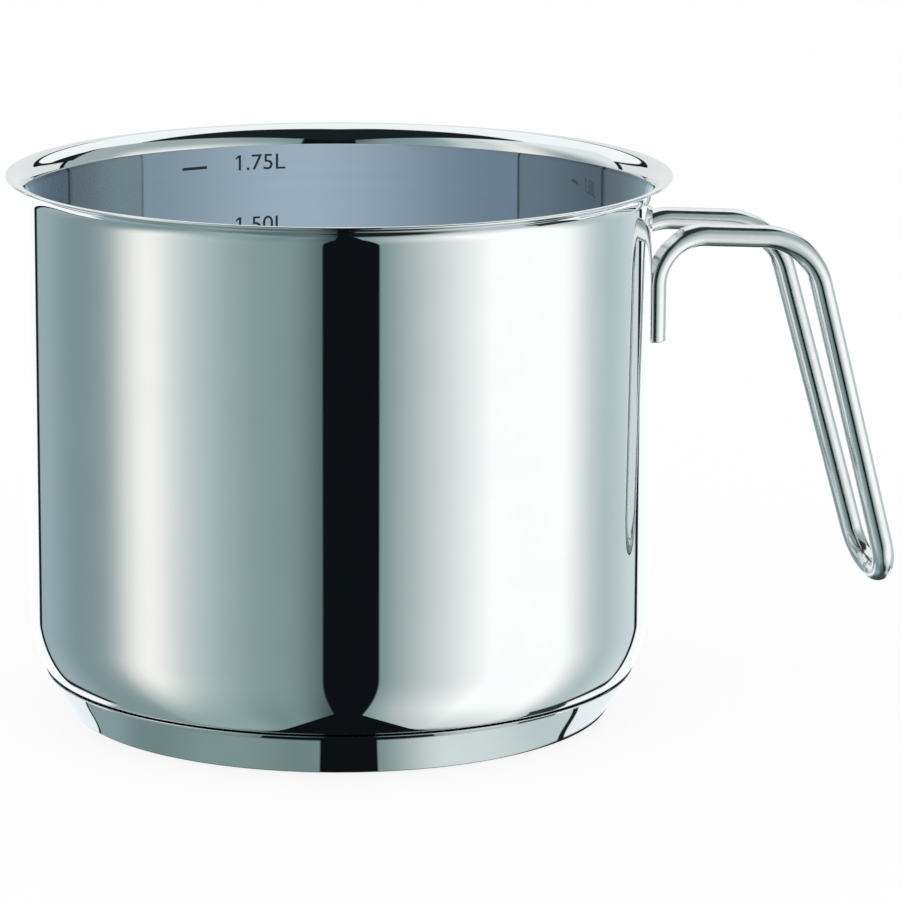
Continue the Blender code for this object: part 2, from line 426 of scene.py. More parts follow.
# %% [markdown]
# ## Mirror outside, satin inside
#
# Outside, the pot is polished bright. Inside, it is left with a fine satin, and the round wall
# sees mostly itself: each stretch shows the stretch opposite, pale in front, dark round the
# sides, with thin upright lines where the lights have their edges. Traced light would need dozens
# of bounces for that, so this reflection is painted: to reflection rays the inner wall is black and
# glows with a painted reflection of itself, by azimuth. To every other ray it is plain satin steel.

# %% The two finishes of the pot
# Thin dark lines in the painted reflection: their azimuths, and the heights over which they fade.
REFLECTED_LINE_AZIMUTHS = ((112.9, 113.3), (114.3, 114.7))
BACK_REFLECTED_LINE_AZIMUTHS = ((-177.6, -177.1), (-175.2, -174.7))
REFLECTED_LINES_MIDDLE = 6.3
REFLECTED_LINE_FADE_HEIGHTS = (0.055, 0.072)
SATIN_HAIR = 0.0000001


def painted_wall_reflection(place):
    """Painted reflection of the wall in itself by azimuth: pale in front, darker round, thin dark
    lines.
    """
    azimuth, height = azimuth_of(place)
    darker_left = ramp(azimuth, 10.0, -10.0) * 0.5 + 0.5
    side_reflected_lines = band(abs(azimuth - REFLECTED_LINES_MIDDLE), *REFLECTED_LINE_AZIMUTHS) * darker_left
    reflected_lines = maths("MAXIMUM", side_reflected_lines, band(azimuth, *BACK_REFLECTED_LINE_AZIMUTHS))
    return repainted(
        (0.43, 0.515, 0.60),
        (ramp(azimuth, 24.0, -94.0), (0.165, 0.235, 0.30)),
        (ramp(azimuth, 24.0, 119.0), (0.25, 0.325, 0.38)),
        (ramp(azimuth, 119.5, 120.5), (0.19, 0.26, 0.285)),
        (ramp(azimuth, 132.0, 176.0), (0.11, 0.145, 0.175)),
        (ramp(azimuth, -107.0, -108.0), (0.135, 0.19, 0.23)),
        (ramp(azimuth, -112.0, -168.0), (0.075, 0.112, 0.15)),
        (reflected_lines * ramp(height, *REFLECTED_LINE_FADE_HEIGHTS), (0.008, 0.016, 0.022)))


mirror_steel = metal("mirror_steel", 3000.0, (0.785, 0.805, 0.805), (0.765, 0.785, 0.79),
                     rough=0.012, by_streaks=0.010, by_haze=0.018, swell=0.000003, hair=0.00000002)

satin_steel, tree, place = new_material("satin_steel")
lines, streaks, dull, _ = marks(place, 1800.0)
mirrored = Value(add_node(tree, "LightPath").outputs["Is Glossy Ray"])
satin_shade = mixed_colour(streaks, (0.71, 0.775, 0.82), (0.76, 0.825, 0.86))
# Painted reflection: to reflection rays the wall's own colour is black and it glows with the
# painted pattern.
finished(tree, add_node(tree, "BsdfPrincipled", inputs={
    "Base Color": mixed_colour(mirrored, satin_shade, (0.0, 0.0, 0.0)), "Metallic": 0.92,
    "Roughness": streaks * 0.02 + dull * 0.015 + 0.025, "Normal": bumped(lines, SATIN_HAIR),
    "Emission Color": mixed_colour(mirrored, (0.0, 0.0, 0.0), painted_wall_reflection(place)),
    "Emission Strength": 1.0}))
print("the pot's finishes:", mirror_steel.name, "and", satin_steel.name)

# %% The pot's surface
points, faces = turned(pot_profile)
throat = RIM_HEIGHT - FLARE_RADIUS
inner_rows = np.arange(len(pot_profile)) > np.argmax(pot_profile[:, 0])
satin_rows = (inner_rows & (pot_profile[:, 1] <= throat + 1e-6))[1:-1]
finish = np.concatenate([np.repeat(satin_rows[:-1], TURN_STEPS),
                         np.zeros(TURN_STEPS), np.ones(TURN_STEPS)])
make_piece("pot_sheet", points, faces, [mirror_steel, satin_steel], "pan_body",
           "polished_steel", finish)


# %% [markdown]
# ## The capsule base
#
# The base of a good pan is thick, so that it spreads the heat. An aluminium disc lies under the
# floor, and a thin steel cap is pressed round it. Only the cap shows: a bright sloping ring whose
# thin lip touches the pot, with a dark line of shadow above it.

# %% The cap's profile
CAP_SHEET = 0.0008
SKIRT_ANGLE = math.radians(32.5)
SEAT_GAP = 0.0003
CAP_LIP = 0.0003
CAP_LIP_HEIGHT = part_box("base_cap")[1].z
CAP_EDGE_RADIUS = 0.0014
CAP_LIP_ROUND = 0.0001
seat_radius = FLOOR_BEND_RADIUS + SEAT_GAP


def skirt_radius(height, inset):
    """Radius of the skirt's outer cone at a height, less the inset measured square to the cone."""
    drop = floor_bend_centre[1] - CAP_LIP_HEIGHT
    lip_edge = floor_bend_centre[0] + math.sqrt(seat_radius ** 2 - drop ** 2) + CAP_LIP
    slope = (height - CAP_LIP_HEIGHT) * math.tan(SKIRT_ANGLE)
    return lip_edge + slope - inset / math.cos(SKIRT_ANGLE)


def rounded_line(corners, radii, steps):
    """Straight lines through the corners, with an arc that touches both lines at each inner one."""
    corners = [np.asarray(corner, float) for corner in corners]
    line = [corners[0]]
    for before, corner, after, radius in zip(corners, corners[1:], corners[2:], radii):
        way_in = (corner - before) / np.linalg.norm(corner - before)
        way_out = (after - corner) / np.linalg.norm(after - corner)
        half_turn = math.acos(np.clip(way_in @ way_out, -1.0, 1.0)) / 2
        towards = (way_out - way_in) / np.linalg.norm(way_out - way_in)
        centre = corner + towards * radius / math.cos(half_turn)
        start = corner - way_in * radius * math.tan(half_turn) - centre
        turned_by = 2 * half_turn * np.linspace(0.0, 1.0, steps + 1)[:, None]
        line.extend(centre + start * np.cos(turned_by) + way_in * radius * np.sin(turned_by))
    line.append(corners[-1])
    return np.array(line)


seat_top = -math.degrees(math.asin((floor_bend_centre[1] - CAP_LIP_HEIGHT) / seat_radius))
seat_reach = skirt_radius(floor_bend_centre[1], CAP_SHEET) - floor_bend_centre[0]
seat_turn = math.acos(seat_reach * math.cos(SKIRT_ANGLE) / seat_radius)
seat_bottom = -math.degrees(SKIRT_ANGLE + seat_turn)
cap_seat = arc(floor_bend_centre, seat_radius, seat_top, seat_bottom, 12)
cap_outside = rounded_line([(0.0, 0.0), (skirt_radius(0.0, 0.0), 0.0),
                            (skirt_radius(CAP_LIP_HEIGHT, 0.0), CAP_LIP_HEIGHT), cap_seat[0]],
                           [CAP_EDGE_RADIUS, CAP_LIP_ROUND], 24)
cap_inside = rounded_line([cap_seat[-1], (skirt_radius(CAP_SHEET, CAP_SHEET), CAP_SHEET),
                           (0.0, CAP_SHEET)], [CAP_EDGE_RADIUS - CAP_SHEET], 10)
cap_profile = supported(np.vstack([cap_outside, cap_seat[1:-1], cap_inside]), 0.0001)

cap_steel = metal("cap_steel", 2400.0, (0.77, 0.79, 0.79), (0.73, 0.755, 0.76), rough=0.02,
                  by_streaks=0.03, by_haze=0.03, swell=0.000014, hair=0.0000001)
make_piece("capsule_cap", *turned(cap_profile), [cap_steel], "base_cap", "cap_steel")


# %% [markdown]
# ## The wire handle
#
# One length of 5.4 mm wire makes the handle. Both ends are pressed flat on the side that meets
# the wall, so that they can be welded there, and the flat keeps its depth round the bend and then
# scoops out. The wire bends over the fingers, comes down as a grip and turns back in a round loop.
# The middle line of one half is worked out as straight stretches and arcs. A D-shaped section
# travels along it, and the other half is its reflection.

# %% The wire's middle line
WIRE_RADIUS = 0.0027
FLAT_DEPTH = 0.0012
FLAT_LENGTH = 0.0268
FLAT_RUNOUT = 0.0030
LEG_LENGTH = 0.0257
LEG_SPACING = 0.0246
SHOULDER_HEIGHT = RIM_HEIGHT - 0.0161
SHOULDER_BEND = 0.0116
RUN_LENGTH = 0.0393
RUN_FALL = math.radians(4.2)
KNUCKLE_BEND = 0.0169
GRIP_ANGLE = math.radians(15.4)
LOOP_SPACING = 0.0185
LOOP_HEIGHT = 0.0225
FOOT_ROUND = 0.0005
FLAT_SOFTNESS = 0.00016

flat_offset = WIRE_RADIUS - FLAT_DEPTH
flat_half_width = math.sqrt(WIRE_RADIUS ** 2 - flat_offset ** 2)
flat_inner_edge = LEG_SPACING / 2 - flat_half_width
leg_x = math.sqrt(WALL_RADIUS ** 2 - flat_inner_edge ** 2) + SEAT_GAP + flat_offset
shoulder = np.array([leg_x, -LEG_SPACING / 2, SHOULDER_HEIGHT])
foot = shoulder - [0.0, 0.0, LEG_LENGTH]
knuckle = shoulder + RUN_LENGTH * np.array([math.cos(RUN_FALL), 0.0, -math.sin(RUN_FALL)])
grip_reach = (knuckle[2] - LOOP_HEIGHT) * math.tan(GRIP_ANGLE)
loop_corner = np.array([knuckle[0] + grip_reach, -LOOP_SPACING / 2, LOOP_HEIGHT])
loop_middle = loop_corner * [1.0, 0.0, 1.0]
grip_way = (loop_corner - knuckle) / np.linalg.norm(loop_corner - knuckle)
loop_bend = LOOP_SPACING / 2 / math.tan(math.acos(grip_way[1]) / 2)
half_route = supported(rounded_line([foot, shoulder, knuckle, loop_corner, loop_middle],
                                    [SHOULDER_BEND, KNUCKLE_BEND, loop_bend], 36))
print("wire, in mm:", round(2000 * np.linalg.norm(np.diff(half_route, axis=0), axis=1).sum(), 1))


# %% The D-shaped section on its way
def flat_reach(distance):
    """How far the wall's side of the wire lies from its middle, by the distance from the foot.

    The full radius less the flat's depth, then a quarter circle's rise back to the full radius.
    """
    run_out = np.clip((distance - FLAT_LENGTH + FLAT_RUNOUT) / FLAT_RUNOUT, 0.0, 1.0)
    return WIRE_RADIUS - FLAT_DEPTH * np.sqrt(1 - run_out ** 2)


def soft_smaller(first, second, softness):
    """The smaller of two values, rounded off where they meet: less the square of what is left of
    the softness after their difference, over four times the softness."""
    left = np.maximum(softness - np.abs(first - second), 0.0)
    return np.minimum(first, second) - left ** 2 / (4 * softness)


def section_angles():
    """Angles round the wire, close together at the two edges of the flat."""
    edge = math.degrees(math.acos(flat_offset / WIRE_RADIUS))
    parts = [(-edge + 5, edge - 5, 12), (edge - 5, edge + 5, 8),
             (edge + 5, 355 - edge, 44), (355 - edge, 365 - edge, 8)]
    return np.radians(np.concatenate([np.linspace(*part, endpoint=False) for part in parts]))


def carried_sides(tangents, side):
    """The side vector carried along the tangents: at each one it drops what lies along it."""
    sides = []
    for tangent in tangents:
        side = side - tangent * (side @ tangent)
        side = side / np.linalg.norm(side)
        sides.append(side)
    return np.array(sides)


def half_wire(route):
    """Rings of the section along one half of the route, with the foot's edge rounded.

    Each ring is the middle point, plus the wall's side times the soft smaller of the circle and
    the flat, plus the other side times the circle's sine.
    """
    step = np.diff(route, axis=0)
    length = np.linalg.norm(step, axis=1)
    distance = np.concatenate([[0.0], np.cumsum(length)])[:, None]
    way = step / length[:, None]
    tangents = np.vstack([way[:1], way[:-1] + way[1:], [(0.0, 1.0, 0.0)]])
    tangents /= np.linalg.norm(tangents, axis=1)[:, None]
    wall_side = carried_sides(tangents, np.array((-1.0, 0.0, 0.0)))
    across = np.cross(tangents, wall_side)
    angles = section_angles()
    towards = soft_smaller(WIRE_RADIUS * np.cos(angles), flat_reach(distance), FLAT_SOFTNESS)
    sideways = WIRE_RADIUS * np.sin(angles) * np.ones_like(distance)
    left = np.clip(FOOT_ROUND - distance, 0.0, FOOT_ROUND)
    slimmer = 1 - (FOOT_ROUND - np.sqrt(FOOT_ROUND ** 2 - left ** 2)) / WIRE_RADIUS
    return (route[:, None] + wall_side[:, None] * (towards * slimmer)[..., None]
            + across[:, None] * (sideways * slimmer)[..., None])


foot_steps = FOOT_ROUND * (1 - np.cos(np.radians(np.linspace(0.0, 90.0, 8))))[:-1]
foot_points = foot + foot_steps[:, None] * [0.0, 0.0, 1.0]
near_half = half_wire(np.vstack([foot_points, half_route[1:]]))
far_half = near_half[-2::-1] * [1.0, -1.0, 1.0]
wire_rings = np.vstack([near_half, far_half])
rows, columns = wire_rings.shape[:2]
wire_points = np.vstack([wire_rings.reshape(-1, 3), foot, foot * [1.0, -1.0, 1.0]])
ring = np.arange(columns)
wire_faces = [grid_faces(rows, columns),
              fan_faces(rows * columns, ring, True),
              fan_faces(rows * columns + 1, ring + columns * (rows - 1), False)]
wire_steel = metal("wire_steel", 900.0, (0.76, 0.785, 0.78), (0.71, 0.74, 0.74), rough=0.11,
                   by_streaks=0.06, by_haze=0.05, swell=0.000006, grain=0.0000012)
make_piece("bent_wire", wire_points, wire_faces, [wire_steel], "handle_wire", "wire_steel")


# %% [markdown]
# ## The litre scale
#
# Inside, a scale marks every quarter litre with a dash and a number. On the real pan it is etched
# and dark. The height of each mark follows from the bore: the volume over the bore's area, plus
# what the rounded corner takes away. The numbers are text, made a mesh, and wrapped on the wall.

# %% The scale's marks
FLOOR_HEIGHT = POT_UNDERSIDE + SHEET
CORNER_LOSS = 10.9e-6
NUMBER_HEIGHT = 0.0038
NUMBER_STRETCH = 1.08
NUMBER_START = math.radians(-3.35)
NUMBER_LIFT = -0.0013
DASH_START = math.radians(-15.4)
DASH_LENGTH = 0.0068
DASH_THICKNESS = 0.0007
DASH_STEPS = 8
MARK_DEPTH = 0.000015
WALL_CLEARANCE = 0.00002


def mark_height(litres):
    """Height above the table at which the pan holds so much."""
    return FLOOR_HEIGHT + (litres / 1000 + CORNER_LOSS) / (math.pi * BORE_RADIUS ** 2)


def number_mesh(words):
    """Flat points and faces of the words, its capitals as high as the scale's numbers."""
    curve = bpy.data.curves.new("number", "FONT")
    curve.body = words
    curve.extrude = MARK_DEPTH
    curve.resolution_u = 6
    holder = bpy.data.objects.new("number", curve)
    bpy.context.scene.collection.objects.link(holder)
    mesh = bpy.data.meshes.new_from_object(holder)
    bpy.data.objects.remove(holder)
    points = np.empty(len(mesh.vertices) * 3)
    mesh.vertices.foreach_get("co", points)
    points = points.reshape(-1, 3)
    faces = [tuple(polygon.vertices) for polygon in mesh.polygons]
    bpy.data.meshes.remove(mesh)
    scale = NUMBER_HEIGHT / np.ptp(points[:, 1])
    points[:, :2] = (points[:, :2] - points[:, :2].min(axis=0)) * scale * [NUMBER_STRETCH, 1.0]
    return points, faces


def one_flag():
    """The slanted stroke of a 1: four corners beside the bar's top, as a thin closed block."""
    outline = np.array([(0.01, 1.0), (-0.20, 0.83), (-0.20, 0.71), (0.01, 0.85)]) * NUMBER_HEIGHT
    block = np.vstack([np.column_stack([outline, np.full(4, depth)])
                       for depth in (-MARK_DEPTH, MARK_DEPTH)])
    sides = [(edge, (edge + 1) % 4, (edge + 1) % 4 + 4, edge + 4) for edge in range(4)]
    return block, [(3, 2, 1, 0), (4, 5, 6, 7)] + sides


def wrapped(points, start, height):
    """Flat points laid on the bore: x becomes an angle from the start, y a height, z a depth."""
    turned_by = start + points[:, 0] / BORE_RADIUS
    radius = BORE_RADIUS - WALL_CLEARANCE - points[:, 2]
    return np.stack([radius * np.sin(turned_by), radius * np.cos(turned_by),
                     height + points[:, 1]], axis=-1)


def dash_mesh():
    """A thin bar in several steps, so that it can follow the wall's curve."""
    x = np.linspace(0.0, DASH_LENGTH, DASH_STEPS + 1)
    y, z = DASH_THICKNESS / 2, MARK_DEPTH
    loop = np.tile([(-y, -z), (y, -z), (y, z), (-y, z)], (len(x), 1))
    points = np.column_stack([np.repeat(x, 4), loop])
    faces = [tuple(face) for face in grid_faces(len(x), 4).tolist()]
    last = 4 * DASH_STEPS
    return points, faces + [(3, 2, 1, 0), (last, last + 1, last + 2, last + 3)]


etched_dark, tree, place = new_material("etched_dark")
grain = noise(place, 5000.0)
finished(tree, add_node(tree, "BsdfPrincipled", inputs={
    "Base Color": mixed_colour(grain, (0.012, 0.014, 0.018), (0.035, 0.038, 0.045)),
    "Roughness": grain * 0.2 + 0.45, "Normal": bumped(grain, 0.000002)}))

mark_points, mark_faces = [], []
for quarter in range(1, 8):
    litres = quarter / 4
    parts = [(number_mesh(f"{litres:.2f}L"), NUMBER_START, NUMBER_LIFT),
             (dash_mesh(), DASH_START, 0.0)]
    if litres >= 1:
        parts.append((one_flag(), NUMBER_START, NUMBER_LIFT))
    for (points, faces), start, lift in parts:
        first = sum(len(earlier) for earlier in mark_points)
        mark_points.append(wrapped(points, start, mark_height(litres) + lift))
        mark_faces += [tuple(first + corner for corner in face) for face in faces]
mark_mesh = bpy.data.meshes.new("litre_scale")
mark_mesh.from_pydata(np.vstack(mark_points).tolist(), [], mark_faces)
mark_mesh.materials.append(etched_dark)
litre_scale = bpy.data.objects.new("litre_scale", mark_mesh)
bpy.context.scene.collection.objects.link(litre_scale)
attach(litre_scale, "root")
print("1.75 litres at, in mm:", round(1000 * mark_height(1.75), 2))


# %% [markdown]
# ## The studio
#
# A mirror is only as good as its room. Photographers light polished pans with big soft lights to
# the left and right, a gap between them for the camera, a dark ceiling, and a white card behind
# the pan whose lower part sweeps forward under it. The gap is the black stripe down the front.
# Here the room is the world: its colour depends on the direction in which a reflection leaves.
# Azimuth is 0 towards the camera and grows towards the photograph's right, elevation is 0 at the
# pan's own level, and both are in degrees.

# %% Colours of the room
DARK_ROOM = (0.012, 0.016, 0.019)
NEAR_BLACK = (0.005, 0.007, 0.009)
WHITE_CARD = (1.10, 1.14, 1.15)
LEVEL_CARD = (0.88, 0.90, 0.90)
CARD_SHADE = (0.06, 0.08, 0.085)
STRIP_OUTSIDE, STRIP_INSIDE = (1.12, 1.10, 1.055), (1.0, 1.10, 1.08)
BOX_LIGHT = (1.23, 1.235, 1.225)
PALE_WALL = (0.94, 0.98, 0.99)

studio, given, give = new_group(
    "studio_room", [("Azimuth", "Float"), ("Elevation", "Float")], [("Color", "Color")])
azimuth, elevation = Value(given["Azimuth"]), Value(given["Elevation"])
upper = ramp(elevation, -9.0, 33.0)
print("the room's inputs:", given.keys())

# %% On the left, a narrow strip light before a grey wall
STRIP_AZIMUTH = -74.0
STRIP_SPREAD = 15.0
STRIP_UPPER_LOSS, STRIP_LOWER_LOSS = 0.22, 0.95
HIGH_STRIP_AZIMUTHS = ((-90.0, -78.0), (-54.0, -36.0))
HIGH_STRIP_SHARE = 0.62

left_wall = repainted(
    (0.32, 0.44, 0.45),
    (ramp(azimuth, -55.0, -27.0), (0.215, 0.315, 0.32)),
    (ramp(azimuth, -22.0, 2.0), (0.04, 0.072, 0.073)),
    (ramp(azimuth, -84.0, -92.0), (0.26, 0.355, 0.37)),
    (ramp(azimuth, -112.0, -140.0), (0.37, 0.48, 0.51)))

# The strip's light falls off as a bell on its outer side and as a long tail on its inner side.
from_strip = azimuth - STRIP_AZIMUTH
spread = (from_strip / STRIP_SPREAD) * (from_strip / STRIP_SPREAD)
bell = maths("EXPONENT", spread * -1.0)
tail = maths("DIVIDE", 1.0, spread + 1.0)
strip = mixed(ramp(from_strip, -1.0, 1.0), bell, tail)
high_strip = band(azimuth, *HIGH_STRIP_AZIMUTHS) * ramp(elevation, -6.0, 8.0) * HIGH_STRIP_SHARE
lower = ramp(elevation, -18.0, -56.0)
strip_strength = (1.0 - upper * STRIP_UPPER_LOSS) * (1.0 - lower * STRIP_LOWER_LOSS)
strip_light = maths("MAXIMUM", strip, high_strip) * strip_strength
strip_colour = mixed_colour(ramp(from_strip, 4.0, 34.0), STRIP_OUTSIDE, STRIP_INSIDE)
upper_left = ramp(elevation - azimuth, 101.0, 142.0) * ramp(elevation, -5.0, 3.0)
left_side = repainted(left_wall, (strip_light, strip_colour), (upper_left, PALE_WALL))
print("nodes with the left side:", len(studio.nodes))

# %% On the right, a wide soft box, which fades evenly towards the gap and quickly behind
BOX_FRONT_AZIMUTHS, BOX_BACK_AZIMUTHS = (14.0, 57.0), (116.0, 88.0)
BOX_UPPER_LOSS, BOX_LOWER_LOSS = 0.82, 0.50
BOX_FOOT_SHIFT = 4.0

right_wall = repainted(
    (0.22, 0.33, 0.33),
    (ramp(azimuth, 90.0, 114.0), (0.54, 0.65, 0.655)),
    (ramp(azimuth, 116.0, 140.0), (0.70, 0.81, 0.83)))
nearer = azimuth + ramp(elevation, -14.0, -45.0) * BOX_FOOT_SHIFT
box = ramp(nearer, *BOX_FRONT_AZIMUTHS, smooth=False) * ramp(azimuth, *BOX_BACK_AZIMUTHS)
lower = ramp(elevation, -40.0, -66.0)
box_strength = (1.0 - upper * BOX_UPPER_LOSS) * (1.0 - lower * BOX_LOWER_LOSS)
dusk = ramp(azimuth, 82.0, 100.0) * ramp(elevation, -4.0, 10.0)
right_side = repainted(right_wall, (box * box_strength, BOX_LIGHT), (dusk, (0.42, 0.50, 0.51)))
print("nodes with the right side:", len(studio.nodes))

# %% Between them, the dark gap for the camera, which narrows towards the pan's foot
GAP_AZIMUTH = 4.1
GAP_HALF_WIDTH = 10.2
GAP_LEAST_HALF = 6.0
GAP_NARROWING = 0.0039
NARROWING_START = -18.0

drop = maths("MAXIMUM", NARROWING_START - elevation, 0.0)
half_gap = maths("MAXIMUM", GAP_HALF_WIDTH - drop * drop * GAP_NARROWING, GAP_LEAST_HALF)
in_gap = ramp(abs(azimuth - GAP_AZIMUTH) - half_gap, 0.5, -0.4)
under_pan = mixed_colour(ramp(azimuth, -30.0, 10.0), (0.14, 0.19, 0.19), DARK_ROOM)
colour = repainted(
    left_side,
    (ramp(azimuth, 3.0, 4.0), right_side),
    (ramp(elevation, -62.0, -76.0), under_pan),
    (in_gap, NEAR_BLACK))
print("nodes with the gap:", len(studio.nodes))


# %% Above, a dark ceiling, whose far half is white
def cosine(degrees):
    """The cosine of a value in degrees."""
    return maths("COSINE", maths("RADIANS", degrees))


WALL_TOP_AZIMUTH = 76.0
WALL_TOP_SLOPE = 1.21
CEILING_SKEW = 0.09

# Both walls are flat, so their top edges are arches.
arch = cosine(abs(azimuth) - WALL_TOP_AZIMUTH) * WALL_TOP_SLOPE
over_walls = ramp(elevation - maths("DEGREES", maths("ARCTANGENT", arch)), -1.5, 1.5)
away = cosine(elevation) * cosine(azimuth + 180.0)
far_half = ramp(away - ramp(azimuth, -40.0, 40.0) * CEILING_SKEW, 0.07, 0.13)
colour = repainted(colour, (over_walls, mixed_colour(far_half, DARK_ROOM, WHITE_CARD)))
print("nodes with the ceiling:", len(studio.nodes))

# %% Behind, a white card with dark edges
CARD_MIDDLE = -1.5
CARD_FROM_FRONT = 146.3
CARD_UPRIGHT_GAIN = 17.0
CARD_ROUNDING = 7.0
SWEEP_SLOPE, SWEEP_DROP = 0.535, 0.855
SWEEP_SHARPNESS = 80.0
LEFT_HEM, RIGHT_HEM, HEM_BACK = -40.5, -47.0, -27.5
TOP_ELEVATION, TOP_RISE = 18.0, 14.0
WEDGE_ELEVATION, WEDGE_HALF_HEIGHT = -47.5, 10.2
WEDGE_SHADE = (0.03, 0.045, 0.05)

# Its upright part has straight sides. Its lower part sweeps forward under the pan: a slanting
# plane through the pan's place, in which the height is a slope times the way back, less a drop.
around = abs(azimuth - CARD_MIDDLE)
beside = around - (CARD_FROM_FRONT - ramp(elevation, -9.0, 4.0) * CARD_UPRIGHT_GAIN)
sweep = away * SWEEP_SLOPE - SWEEP_DROP - maths("SINE", maths("RADIANS", elevation))
in_card = maths("SMOOTH_MAX", beside, sweep * SWEEP_SHARPNESS, CARD_ROUNDING)

# Its front hem is lower on the right than on the left, and shade lies below it.
left_hem = mixed(ramp(around, 142.0, 162.3, smooth=False), LEFT_HEM, HEM_BACK)
right_hem = mixed(ramp(around, 150.0, 167.7, smooth=False), RIGHT_HEM, HEM_BACK)
over_hem = elevation - mixed(ramp(azimuth, -10.0, 10.0), left_hem, right_hem)
above_hem = ramp(over_hem, -2.0, 2.0)
below_hem = ramp(over_hem, 2.0, -7.0) * ramp(around, 138.0, 152.0)

# Its top edge rises towards the back, and the card is greyer where it stands upright.
over_top = elevation - (ramp(around, 158.0, 173.0) * TOP_RISE + TOP_ELEVATION)
upright = ramp(elevation, -7.0, 2.0) * ramp(over_top, 0.5, -0.5)
half_line = 1.8 - ramp(elevation, -22.0, -28.0) * 0.9
side_edge = ramp(abs(in_card) - half_line, 0.5, -0.5) * ramp(elevation, 19.0, 17.0) * above_hem
half_edge = band(around, (152.0, 160.0), (167.0, 171.0)) * 1.3 + 1.6
top_edge = ramp(abs(over_top) - half_edge, 0.5, -0.5) * band(around, (128.0, 129.0), (170.0, 174.0))

# A black flag stands beside it on the right, and a dark wedge lies under its hem there.
flag = (ramp(azimuth + elevation, 163.0, 160.5) * ramp(elevation, 16.5, 18.0)
        * ramp(azimuth, 121.5, 123.5))
wedge_share = ramp(azimuth, 103.0, 125.0, smooth=False) * ramp(azimuth, 142.0, 118.0)
from_wedge = abs(elevation - WEDGE_ELEVATION)
wedge = ramp(wedge_share * WEDGE_HALF_HEIGHT - from_wedge, 0.0, 1.5)
give("Color", repainted(
    colour,
    (below_hem, CARD_SHADE),
    (ramp(in_card, -0.2, 0.4) * above_hem, mixed_colour(upright, WHITE_CARD, LEVEL_CARD)),
    (maths("MAXIMUM", side_edge, top_edge), DARK_ROOM),
    (flag, DARK_ROOM),
    (wedge, WEDGE_SHADE)))
print("nodes with the card, so in all:", len(studio.nodes))


# %% [markdown]
# ## The world
#
# Only reflections see the studio. Rough surfaces and the floor are lit by a plain soft light from
# above and a little in front, so that colours come out about as they are written, and the camera
# sees white behind the pan.

# %% What each kind of ray sees
SOFT_WAY = Matrix.Rotation(-HANDLE_TURN, 3, "Z") @ Vector((-0.05, -0.30, 0.95))
SOFT_LEAST, SOFT_MOST = (0.35, 0.35, 0.35), (1.35, 1.35, 1.35)

world = bpy.data.worlds.new("studio")
bpy.context.scene.world = world
world.use_nodes = True
room = world.node_tree
room.nodes.clear()
way = add_node(room, "TexCoord").outputs["Generated"]
way_azimuth, rise = azimuth_of(way)
seen_room = add_node(room, "Group", node_tree=studio, inputs={
    "Azimuth": way_azimuth, "Elevation": maths("DEGREES", maths("ARCSINE", rise))}).outputs[0]
softness = add_node(room, "VectorMath", operation="DOT_PRODUCT", inputs={0: way, 1: SOFT_WAY})
soft_light = mixed_colour(ramp(Value(softness.outputs["Value"]), 0.0, 1.0), SOFT_LEAST, SOFT_MOST)
path = add_node(room, "LightPath").outputs
shown = repainted(soft_light, (Value(path["Is Glossy Ray"]), seen_room),
                  (Value(path["Is Camera Ray"]), (1.0, 1.0, 1.0)))
light = add_node(room, "Background", inputs={"Color": shown})
add_node(room, "OutputWorld", inputs={"Surface": light.outputs[0]})
print("soft light comes from:", [round(part, 3) for part in SOFT_WAY])


# %% [markdown]
# ## The floor
#
# The pan stands on a white sheet with a soft shadow. To a reflection the sheet is clear, so the
# wall shows the room down to its foot, apart from two painted reflections that glow on the floor
# to reflection rays only. A painted ring beside the base gives back stripes, which the sloping cap
# needs: grey on the left, paler on the right, white round the sides with a dark line before it,
# and a painted line of shade where the pan stands. And a painted dark patch lies in front, which
# makes the black fan at the foot of the wall.

# %% The painted ring beside the base and the painted dark patch
FLOOR_SIZE = 12.0
FLOOR_DROP = 0.0002
RING_START, RING_END = 0.0620, 0.0705
SHADE_RADIUS = 0.0630
SHADE_EDGE = 0.0004
SHADE_RIGHT_GAIN = 0.0009
RING_GAP_AZIMUTH = 1.9
RING_MIDDLE = -3.65
RING_LEAN = 8.0
RING_WHITE = (0.95, 1.02, 1.04)
WHITE_START = 58.1
LINE_RIGHT_GAIN = 1.4
DARK_PATCH_TIP = 0.0894
DARK_PATCH_SLOPE = 1.21
DARK_PATCH_MIDDLE = 0.0021
CAMERA_GLOW = 0.86

floor_material, tree, place = new_material("white_floor")
azimuth, _ = azimuth_of(place)
far = Value(add_node(tree, "VectorMath", operation="LENGTH", inputs={0: place}).outputs["Value"])

ring_left = mixed_colour(band(azimuth, (-42.0, -28.0), (-22.0, -8.0)),
                         (0.205, 0.29, 0.29), (0.255, 0.36, 0.36))
ring_right = mixed_colour(ramp(azimuth, 30.0, 50.0), (0.78, 0.88, 0.87), (0.62, 0.73, 0.73))
around = abs(azimuth - RING_MIDDLE) - ramp(far, RING_START, RING_END) * RING_LEAN
line_start = around + ramp(azimuth, -10.0, 10.0) * LINE_RIGHT_GAIN
shade_edge = far - ramp(azimuth, 30.0, 58.0) * SHADE_RIGHT_GAIN
# Painted reflection: stripes that the cap mirrors, a dark line before the white, and a painted line
# of shade where the pan stands.
painted_ring_reflection = repainted(
    ring_left,
    (ramp(azimuth, 5.0, 24.0), ring_right),
    (ramp(azimuth, -46.0, -58.0), (0.28, 0.38, 0.41)),
    (ramp(abs(azimuth - RING_GAP_AZIMUTH), 6.3, 5.8), NEAR_BLACK),
    (ramp(around, WHITE_START, WHITE_START + 0.8), RING_WHITE),
    (ramp(line_start, 57.2, 57.6) * ramp(around, WHITE_START + 0.4, WHITE_START), DARK_ROOM),
    (ramp(shade_edge, SHADE_RADIUS, SHADE_RADIUS - SHADE_EDGE), DARK_ROOM))
